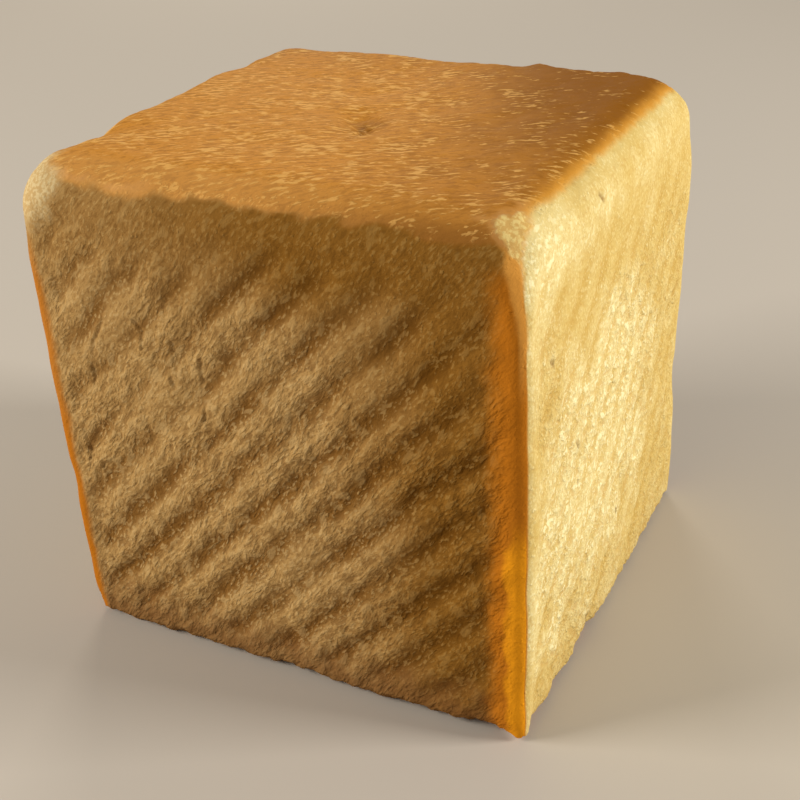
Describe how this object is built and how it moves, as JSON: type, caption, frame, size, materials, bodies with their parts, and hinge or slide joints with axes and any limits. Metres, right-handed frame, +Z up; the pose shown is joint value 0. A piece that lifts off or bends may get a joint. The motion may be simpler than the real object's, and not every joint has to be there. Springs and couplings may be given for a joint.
{
  "type": "tin loaf",
  "caption": "Small near-cubic white tin loaf with a flat golden top, rounded top edges and sides ribbed on the slant by a corrugated lidded tin.",
  "frame": {"origin": "middle of the flat base, on the surface that the loaf stands on", "axes": "+Z up through the flat top, +X along the loaf's longer width, -Y out of the side that faces the camera from the left"},
  "size_m": [0.1012, 0.0946, 0.1022],
  "materials": {
    "crust": "matt baked crust, golden orange-brown on top, cream to beige on the ribbed sides"
  },
  "bodies": {
    "root": {"loaf": "crust"}
  },
  "joints": []
}
